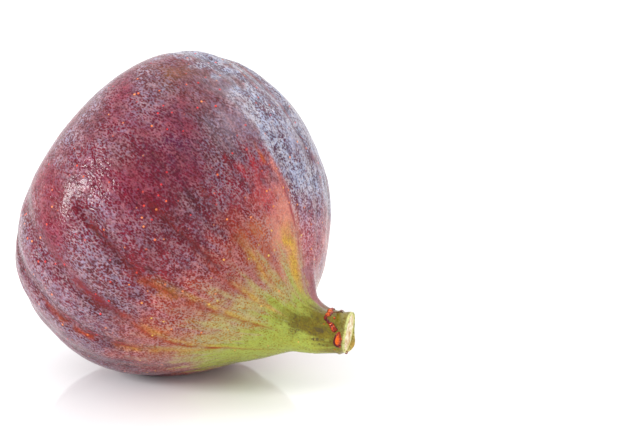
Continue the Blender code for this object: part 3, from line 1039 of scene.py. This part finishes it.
def skin_spots(recipe, place):
    """Sparse bright spots: their shape, how clearly each one shows, and their colour."""
    cells = recipe.cells(place, SPOT_CELL)
    size = SPOT_RADIUS / SPOT_CELL
    spot = recipe.ramp(cells["Distance"], 0.55 * size, size, 1.0, 0.0)
    chance = recipe.add("SeparateColor", {0: cells["Color"]}).outputs
    strong = recipe.ramp(chance[0], 0.2, 0.6, 0.5, 1.0)
    shown = recipe.times(recipe.times(spot, strong), recipe.number("spotted"))
    colour = recipe.blend(recipe.ramp(chance[1], 0.65, 0.9), recipe.colour("spot"), SPOT_ORANGE)
    return spot, shown, colour


def skin_material(shape):
    """Pale bloom broken by deep dots, with sparse bright spots and a fine waxy relief."""
    recipe = Recipe("fig_skin_bloom")
    place = recipe.place()
    lying = (0.0, pi / 2.0 + shape.nose_down, 0.0)
    inputs = {"Vector": place, "Rotation": lying, "Scale": (1.0, 1.0, DOT_STRETCH)}
    turned = recipe.add("Mapping", inputs, vector_type="TEXTURE").outputs[0]
    dots = recipe.cells(turned, DOT_SIZE)
    fine = recipe.grain(turned, 0.22 * MM, 2.0, 0.6)
    middling = recipe.grain(turned, 0.75 * MM, 3.0)
    clumps = recipe.grain(turned, 1.7 * MM)
    dotted = skin_dots(recipe, turned, dots["Distance"], fine, middling, clumps)
    wrinkled = skin_wrinkles(recipe, turned, clumps)
    spot, shown, spot_colour = skin_spots(recipe, place)

    pale, deep, contrast = recipe.colour("pale"), recipe.colour("deep"), recipe.number("contrast")
    cloudy = recipe.ramp(recipe.swing(clumps, 0.9, recipe.grain(turned, 0.5 * MM)), 0.34, 0.66)
    pale = recipe.blend(recipe.times(cloudy, contrast), pale, recipe.tinted(pale, PALE_TINT))
    uneven = recipe.add("SeparateColor", {0: dots["Color"]}).outputs[0]
    darker = recipe.times(uneven, recipe.times(contrast, 0.45))
    deep = recipe.blend(darker, deep, recipe.tinted(deep, DEEP_TINT))
    shade = recipe.ramp(middling, 0.3, 0.7, 0.86, 1.14)
    shade = recipe.times(shade, recipe.ramp(fine, 0.3, 0.7, 0.74, 1.26))
    shade = recipe.times_plus(recipe.calculate("SUBTRACT", shade, 1.0), contrast, 1.0)
    shade = recipe.add("CombineColor", {0: shade, 1: shade, 2: shade}).outputs[0]
    coloured = recipe.tinted(recipe.blend(dotted, pale, deep), shade)
    lined = recipe.times(wrinkled, recipe.times(contrast, 0.55))
    coloured = recipe.blend(lined, coloured, recipe.tinted(deep, WRINKLE_TINT))
    scratches = recipe.grain(turned, 0.3 * MM, 3.0, 0.65)
    corky = recipe.ramp(recipe.times_plus(recipe.number("corky"), 0.3, scratches), 0.62, 0.82)
    coloured = recipe.blend(corky, coloured, CORK_BROWN)

    rough = recipe.ramp(recipe.number("wax"), 0.0, 1.0, 0.17, 0.28)
    rough = recipe.times_plus(shown, -0.15, recipe.times_plus(dotted, -0.08, rough))
    height = recipe.times_plus(dotted, -0.2, recipe.times(fine, 0.2))
    height = recipe.times_plus(recipe.grain(turned, 0.55 * MM, 1.0), 1.5, height)
    height = recipe.times_plus(wrinkled, -0.8, recipe.times_plus(spot, 0.8, height))
    return recipe.finished(
        {
            "Base Color": recipe.blend(shown, coloured, spot_colour),
            "Roughness": rough,
            "Normal": recipe.bump(height, 1.0, RELIEF),
            "Specular IOR Level": 0.18,
        }
    )


def pith_material(colours):
    """Cut stalk: a fresh green edge, a ring of fibre ends and a pale pith."""
    recipe = Recipe("stalk_pith")
    place = recipe.place()
    uneven = recipe.grain(place, 0.8 * MM, 3.0)
    reach = recipe.swing(uneven, 0.25, recipe.number("reach"))
    bundles = recipe.ramp(recipe.cells(place, 0.3 * MM)["Distance"], 0.25, 0.5, 1.0, 0.0)
    ring = recipe.times(recipe.ramp(reach, 0.35, 0.6), recipe.ramp(reach, 0.72, 0.86, 1.0, 0.0))
    ends = recipe.times(bundles, ring)
    pith = recipe.blend(recipe.ramp(uneven, 0.35, 0.7), colours.cream, colours.fibre)
    pith = recipe.blend(ends, pith, mix(np.array(colours.fibre), np.array(colours.rust), 0.3))
    return recipe.finished(
        {
            "Base Color": recipe.blend(recipe.ramp(reach, 0.84, 0.97), pith, colours.rim),
            "Roughness": 0.6,
            "Normal": recipe.bump(recipe.times_plus(ends, 0.6, uneven), 0.7, 0.12 * MM),
        }
    )


def sap_material(colours):
    """Dried sap: glossy and clear orange, nearly black red where it is thick."""
    recipe = Recipe("dried_sap")
    streaky = recipe.grain(recipe.place(), 0.28 * MM)
    dark = recipe.swing(streaky, 2.0, recipe.number("dark"))
    thin = recipe.blend(recipe.ramp(dark, 0.0, 0.35), colours.sap_light, colours.sap)
    return recipe.finished(
        {
            "Base Color": recipe.blend(recipe.ramp(dark, 0.35, 0.85), thin, colours.sap_dark),
            "Roughness": recipe.ramp(streaky, 0.3, 0.7, 0.08, 0.24),
            "Normal": recipe.bump(streaky, 0.9, 0.14 * MM),
            **SAP_GLOSS,
        }
    )


def pool_material(colours):
    """Clear orange sap in the scar, brighter where it is thin."""
    recipe = Recipe("sap_pool")
    cloudy = recipe.grain(recipe.place(), 0.5 * MM)
    clear = recipe.ramp(recipe.times_plus(recipe.number("dark"), -0.3, cloudy), 0.3, 0.58)
    return recipe.finished(
        {
            "Base Color": recipe.blend(clear, colours.sap, colours.sap_light),
            "Roughness": recipe.ramp(cloudy, 0.3, 0.7, 0.08, 0.2),
            "Normal": recipe.bump(cloudy, 0.8, 0.2 * MM),
            **SAP_GLOSS,
        }
    )


def scale_material(colours):
    """Dry bracts and eye scales: brown red with paler, papery edges and, in the eye, painted shade on the
    scales' inner ends, which sink into the hole.
    """
    recipe = Recipe("dry_scale")
    papery = recipe.grain(recipe.place(), 0.4 * MM, 3.0)
    base = recipe.blend(recipe.ramp(papery, 0.35, 0.65), colours.scale, colours.dark_red_and_crease_shade)
    base = recipe.blend(recipe.ramp(recipe.number("edge"), 0.75, 1.0, 0.0, 0.4), base, colours.pink)
    # Painted shade: the eye's scales darken towards their inner ends, in the hole
    dark = recipe.ramp(recipe.number("tip"), 0.1, 0.9, 0.0, 0.8)
    return recipe.finished(
        {
            "Base Color": recipe.blend(dark, base, 0.5 * np.array(colours.dark_red_and_crease_shade)),
            "Roughness": 0.5,
            "Normal": recipe.bump(papery, 0.6, 0.08 * MM),
        }
    )


def floor_material():
    """A pale, polished tabletop."""
    finish = {"Base Color": (0.93, 0.93, 0.94), "Roughness": 0.07, "Specular IOR Level": 0.5}
    return Recipe("pale_floor").finished(finish)


# Operators


def on_edge(line, rows):
    """One on the rolled edge of the cut, fading down the skin behind it."""
    edge = np.argmax(line[:, 0])
    return np.where(rows <= edge + 3, smooth((rows - edge + 14.0) / 12.0), 0.0)


class FIG_OT_skin(Operator):
    """Model the ribbed skin from the eye to the cut, and colour it"""

    bl_idname = "fig.skin"
    bl_label = "Fig Skin"

    def execute(self, context):
        shape, colours = context.scene.fig_shape, context.scene.fig_colours
        line = skin_line(shape)
        mesh = spun(line, shape.columns)
        rows, station, radius, angle = turned_places(mesh, line)
        plain = placed(shape, station, radius, angle)
        uneven = 0.16 * clouds(plain, 8.0 * MM, 5.0) + 0.06 * clouds(plain, 2.5 * MM, 6.0)
        fade = smooth((shape.stalk_end - station) / (6.0 * MM))
        flap = np.exp(-((turn_between(angle, FLAP_SIDE) / FLAP_TURN) ** 2))
        station = station + FLAP * flap * on_edge(line, rows)
        move_to(mesh.verts, rested(placed(shape, station, radius, angle, uneven * MM * (0.4 + 0.6 * fade))))
        skin = object_from(mesh, "fig_skin", skin_material(shape))
        data = skin.data
        lengths = np.concatenate(((0.0,), np.cumsum(np.hypot(*np.diff(line, axis=0).T))))
        across = np.where(radius < TINY, np.nan, (angle + pi) / (2.0 * pi) % 1.0)
        unwrap_round(data, across, (lengths / lengths[-1])[rows])
        for name, values in skin_colours(shape, colours, station, radius, angle, plain).items():
            paint(data, name, values)
        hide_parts(NODE)
        return {"FINISHED"}


class FIG_OT_cut(Operator):
    """Model the pith in the cut end of the stalk"""

    bl_idname = "fig.cut"
    bl_label = "Cut Stalk"

    def execute(self, context):
        shape = context.scene.fig_shape
        edge = shape.cut_radius - 0.6 * CUT_WALL
        line = [(shape.stalk_end - 1.6 * CUT_SINK, 0.0), (shape.stalk_end - 1.6 * CUT_SINK, edge)]
        for share in np.linspace(1.0, 0.0, 22):
            line.append((shape.stalk_end - CUT_SINK * (0.25 + 0.75 * (1.0 - share**4)), edge * share))
        mesh = spun(line, 96)
        _, station, radius, angle = turned_places(mesh, line)
        top = station > shape.stalk_end - 1.5 * CUT_SINK
        plain = placed(shape, station, radius, angle)
        rough = 0.12 * MM * clouds(plain, 0.9 * MM, 7.0) * smooth((edge - radius) / (0.4 * MM)) * top
        move_to(mesh.verts, placed(shape, station + rough, radius, angle))
        cut = object_from(mesh, "stalk_pith", pith_material(context.scene.fig_colours))
        paint(cut.data, "reach", radius / edge)
        return {"FINISHED"}


# In millimetres
BRACT_HEIGHT = 0.14


def ball(mesh, detail):
    """Adds a round ball to the mesh, and returns its points and their places on the ball."""
    made = bmesh.ops.create_icosphere(mesh, subdivisions=detail, radius=1.0)["verts"]
    return made, np.array([vert.co for vert in made])


def patch_on_stalk(shape, mesh, degrees, station, half_round, half_along, height, detail=3, widening=0.0):
    """Adds a domed oval that lies on the stalk, and returns how far each point is from its middle."""
    made, local = ball(mesh, detail)
    angle = radians(degrees) + local[:, 0] * half_round * MM / shape.cut_radius
    where = station * MM + local[:, 1] * (1.0 + widening * local[:, 0]) * half_along * MM
    radius = np.interp(where, *outline(shape).T)
    move_to(made, placed(shape, where, radius, angle, local[:, 2] * height * MM))
    return np.hypot(local[:, 0], local[:, 1])


class FIG_OT_bracts(Operator):
    """Model two of the scars that the bracts left on the joint of the stalk"""

    bl_idname = "fig.bracts"
    bl_label = "Bract Scars"

    def execute(self, context):
        shape = context.scene.fig_shape
        mesh = bmesh.new()
        reaches = [patch_on_stalk(shape, mesh, *bract, BRACT_HEIGHT) for bract in BRACTS]
        scars = object_from(mesh, "bract_scars", scale_material(context.scene.fig_colours))
        paint(scars.data, "edge", np.concatenate(reaches))
        return {"FINISHED"}


# Fineness of the melted sap; then, in millimetres, the spacing of its beads, a degree round the stalk and
# the height of the pool, which has this many beads round it
SAP_FINENESS = 0.05 * MM
SAP_SPACING = 0.09
DEGREE_ON_STALK = 0.058
POOL_HEIGHT = 0.26
POOL_RIM = 40


def strung(string):
    """Beads close together along a string of sap: side, station, radius and darkness."""
    rows = np.array(string)
    steps = np.hypot(np.diff(rows[:, 0]) * DEGREE_ON_STALK, np.diff(rows[:, 1]))
    lengths = np.concatenate(((0.0,), np.cumsum(steps)))
    places = np.linspace(0.0, lengths[-1], max(4, int(lengths[-1] / SAP_SPACING)))
    beads = np.column_stack([np.interp(places, lengths, rows[:, column]) for column in range(4)])
    beads[:, 2] *= 1.0 + 0.16 * np.sin(places * 9.0) + 0.1 * np.sin(places * 23.0)
    beads[:, 1] += 0.05 * np.sin(places * 7.0)
    return beads


def pool_rim(shape):
    """Beads round the pool of sap, thick and dark along its lower edge."""
    side, middle, half_round, half_along, widening = SAP_POOL
    beads = []
    for number in range(POOL_RIM):
        turn = 2.0 * pi * number / POOL_RIM
        thick = max(0.0, cos(turn + 0.9)) ** 0.6
        degrees = side + np.degrees(half_round * cos(turn) * MM / shape.cut_radius)
        station = middle + half_along * (1.0 + widening * cos(turn)) * sin(turn)
        beads.append((degrees, station, 0.08 + 0.15 * thick + 0.02 * sin(5.0 * turn), 0.25 + 0.75 * thick))
    return np.array(beads)


def melted(piece, fineness, rounds):
    """Runs the beads of a piece together into one rounded skin."""
    melt = piece.modifiers.new("melt", "REMESH")
    melt.mode = "VOXEL"
    melt.voxel_size = fineness
    melt.use_smooth_shade = True
    rounding = piece.modifiers.new("rounding", "SMOOTH")
    rounding.iterations = rounds
    graph = bpy.context.evaluated_depsgraph_get()
    data = bpy.data.meshes.new_from_object(piece.evaluated_get(graph))
    piece.modifiers.clear()
    piece.data = data
    return data


class FIG_OT_sap(Operator):
    """Model the crust of dried sap round the joint of the stalk"""

    bl_idname = "fig.sap"
    bl_label = "Dried Sap"

    def execute(self, context):
        shape, colours = context.scene.fig_shape, context.scene.fig_colours
        mesh = bmesh.new()
        beads = np.vstack([*(strung(string) for string in SAP_STRINGS), pool_rim(shape), SAP_DROPS])
        for degrees, station, size, dark in beads:
            patch_on_stalk(shape, mesh, degrees, station, size, size, 1.15 * size, detail=2)
        sap = object_from(mesh, "dried_sap", sap_material(colours))
        data = melted(sap, SAP_FINENESS, 3)
        points = np.array([vert.co for vert in data.vertices])
        where = beads[:, 1] * MM
        middles = placed(shape, where, np.interp(where, *outline(shape).T), np.radians(beads[:, 0]))
        distance = np.linalg.norm(points[:, None, :] - middles[None, :, :], axis=2) / (beads[:, 2] * MM)
        weight = np.exp(-(distance**2))
        paint(data, "dark", weight @ beads[:, 3] / np.maximum(weight.sum(axis=1), 1e-9))
        pool = bmesh.new()
        *oval_sizes, widening = SAP_POOL
        reach = patch_on_stalk(shape, pool, *oval_sizes, POOL_HEIGHT, detail=4, widening=widening)
        puddle = object_from(pool, "sap_pool", pool_material(colours))
        paint(puddle.data, "dark", reach**2)
        return {"FINISHED"}


# Rings of scales in the eye, from the outside in: reach of the outer ends and length of a scale in
# millimetres, number, turn as a share of the spacing, and height over the skin in millimetres, as is the
# thickness of a scale
EYE_RINGS = (
    (2.3, 1.4, 7, 0.0, 0.0),
    (1.75, 1.3, 6, 0.45, -0.02),
    (1.2, 1.1, 5, 0.15, -0.1),
    (0.65, 0.65, 3, 0.6, -0.2),
)
SCALE_THICKNESS = 0.2


class FIG_OT_eye(Operator):
    """Model the closed scales in the eye"""

    bl_idname = "fig.eye"
    bl_label = "Eye Scales"

    def execute(self, context):
        shape = context.scene.fig_shape
        mesh = bmesh.new()
        edges, eye_hollow_shades = [], []
        line = outline(shape)
        dome = line[line[:, 0] < 0.0]
        for reach, length, count, offset, lift in EYE_RINGS:
            for number in range(count):
                made, local = ball(mesh, 3)
                uneven = 1.0 + 0.12 * sin(5.0 * number + 9.0 * reach)
                angle = 2.0 * pi * (number + offset + 0.12 * sin(3.0 * number)) / count
                outwards = 0.5 + 0.5 * local[:, 0]
                width = (1.2 + 6.4 * reach / count * outwards**0.4) * 0.55 * uneven
                x = reach - length * uneven * (1.0 - outwards)
                y = 0.5 * local[:, 1] * width + 0.12 * length * (1.0 - outwards)
                over = lift + 0.3 * (1.0 - outwards) * outwards - 0.16 * outwards + 0.16 * local[:, 1]
                height = (SCALE_THICKNESS * local[:, 2] + over) * MM
                radius, turn = np.hypot(x, y) * MM, np.arctan2(y, x) + angle
                station = np.interp(radius, dome[:, 1], dome[:, 0]) - height
                move_to(made, placed(shape, station, radius, turn))
                edges.append(np.clip(np.hypot(local[:, 0], local[:, 1]), 0.0, 1.0))
                # Painted shade: darkest at the scales' inner ends and on the innermost ring, which sink into
                # the eye's hole
                eye_hollow_shades.append((1.0 - outwards) * (1.0 if reach > 1.5 else 0.6) + 0.3 * (reach < 1.0))
        eye = object_from(mesh, "eye_scales", scale_material(context.scene.fig_colours))
        paint(eye.data, "edge", np.concatenate(edges))
        paint(eye.data, "tip", np.concatenate(eye_hollow_shades))
        return {"FINISHED"}


def camera_axes(stage):
    """Right, up and back of the camera."""
    a, e = stage.azimuth, stage.elevation
    right = Vector((cos(a), sin(a), 0.0))
    back = Vector((sin(a) * cos(e), -cos(a) * cos(e), sin(e)))
    return right, back.cross(right), back


# Where the middle of the girth shows in the photograph, in pixels from its left and top
GIRTH_ACROSS = 178.5
GIRTH_DOWN = 218.6
# Places of the lights to the right of the girth, over it and towards the camera, and their widths and
# heights, in metres
KEY_PLACE = (0.3, 0.5, -0.12)
KEY_SIZE = (0.5, 0.4)
SIDE_PLACE = (-0.49, 0.15, 0.23)
SIDE_SIZE = (0.035, 0.18)
FLOOR_RADIUS = 1.6


class FIG_OT_stage(Operator):
    """Lay the pale floor, light it softly and place the camera"""

    bl_idname = "fig.stage"
    bl_label = "Stage"

    def execute(self, context):
        scene = context.scene
        stage = scene.fig_stage
        self.floor()
        axes = camera_axes(stage)
        centre = Vector((CENTRE_X, CENTRE_Y, girth_height(scene.fig_shape)))
        scene.camera = self.camera(stage, centre, *axes)
        self.light("key", centre, axes, KEY_PLACE, KEY_SIZE, stage.key_power)
        self.light("side", centre, axes, SIDE_PLACE, SIDE_SIZE, stage.side_power)
        world = bpy.data.worlds.new("white_room")
        world.use_nodes = True
        background = world.node_tree.nodes["Background"]
        background.inputs["Color"].default_value = (1.0, 1.0, 1.0, 1.0)
        background.inputs["Strength"].default_value = stage.surround
        scene.world = world
        scene.view_settings.view_transform = "Standard"
        return {"FINISHED"}

    def floor(self):
        mesh = bmesh.new()
        bmesh.ops.create_circle(mesh, cap_ends=True, segments=96, radius=FLOOR_RADIUS)
        data = bpy.data.meshes.new("floor")
        mesh.to_mesh(data)
        mesh.free()
        data.materials.append(floor_material())
        floor = linked("floor", data)

    def camera(self, stage, centre, right, up, back):
        data = bpy.data.cameras.new("camera")
        data.lens = stage.lens
        data.sensor_width = SENSOR_WIDTH
        data.clip_start = 0.01
        pixel = stage.distance * SENSOR_WIDTH / (stage.lens * PHOTO_WIDTH)
        camera = linked("camera", data)
        camera.location = centre + stage.distance * back
        camera.location += (PHOTO_WIDTH / 2.0 - GIRTH_ACROSS) * pixel * right
        camera.location -= (PHOTO_HEIGHT / 2.0 - GIRTH_DOWN) * pixel * up
        camera.rotation_euler = back.to_track_quat("Z", "Y").to_euler()
        return camera

    def light(self, name, centre, axes, place, size, power):
        data = bpy.data.lights.new(name, "AREA")
        data.shape = "RECTANGLE"
        data.size, data.size_y = size
        data.energy = power
        light = linked(name, data)
        away = place[0] * axes[0] + place[1] * axes[1] + place[2] * axes[2]
        light.location = centre + away
        light.rotation_euler = away.to_track_quat("Z", "Y").to_euler()


class FIG_PT_panel(Panel):
    """Sizes, colours and steps of the fig"""

    bl_idname = "FIG_PT_panel"
    bl_label = "Fresh Fig"
    bl_space_type = "VIEW_3D"
    bl_region_type = "UI"
    bl_category = "Fig"

    def draw(self, context):
        layout = self.layout
        for group in (context.scene.fig_shape, context.scene.fig_colours, context.scene.fig_stage):
            box = layout.box()
            for name in group.__annotations__:
                box.prop(group, name)
        column = layout.column(align=True)
        for operator in OPERATORS:
            column.operator(operator.bl_idname)


OPERATORS = (FIG_OT_skin, FIG_OT_cut, FIG_OT_bracts, FIG_OT_sap, FIG_OT_eye, FIG_OT_stage)
CLASSES = (FIG_PG_shape, FIG_PG_colours, FIG_PG_stage, *OPERATORS, FIG_PT_panel)


def register():
    for kind in CLASSES:
        bpy.utils.register_class(kind)
    bpy.types.Scene.fig_shape = PointerProperty(type=FIG_PG_shape)
    bpy.types.Scene.fig_colours = PointerProperty(type=FIG_PG_colours)
    bpy.types.Scene.fig_stage = PointerProperty(type=FIG_PG_stage)


def unregister():
    del bpy.types.Scene.fig_stage
    del bpy.types.Scene.fig_colours
    del bpy.types.Scene.fig_shape
    for kind in reversed(CLASSES):
        bpy.utils.unregister_class(kind)


def main():
    register()
    bpy.ops.fig.skin()
    bpy.ops.fig.cut()
    bpy.ops.fig.bracts()
    bpy.ops.fig.sap()
    bpy.ops.fig.eye()
    bpy.ops.fig.stage()


if __name__ == "__main__":
    main()
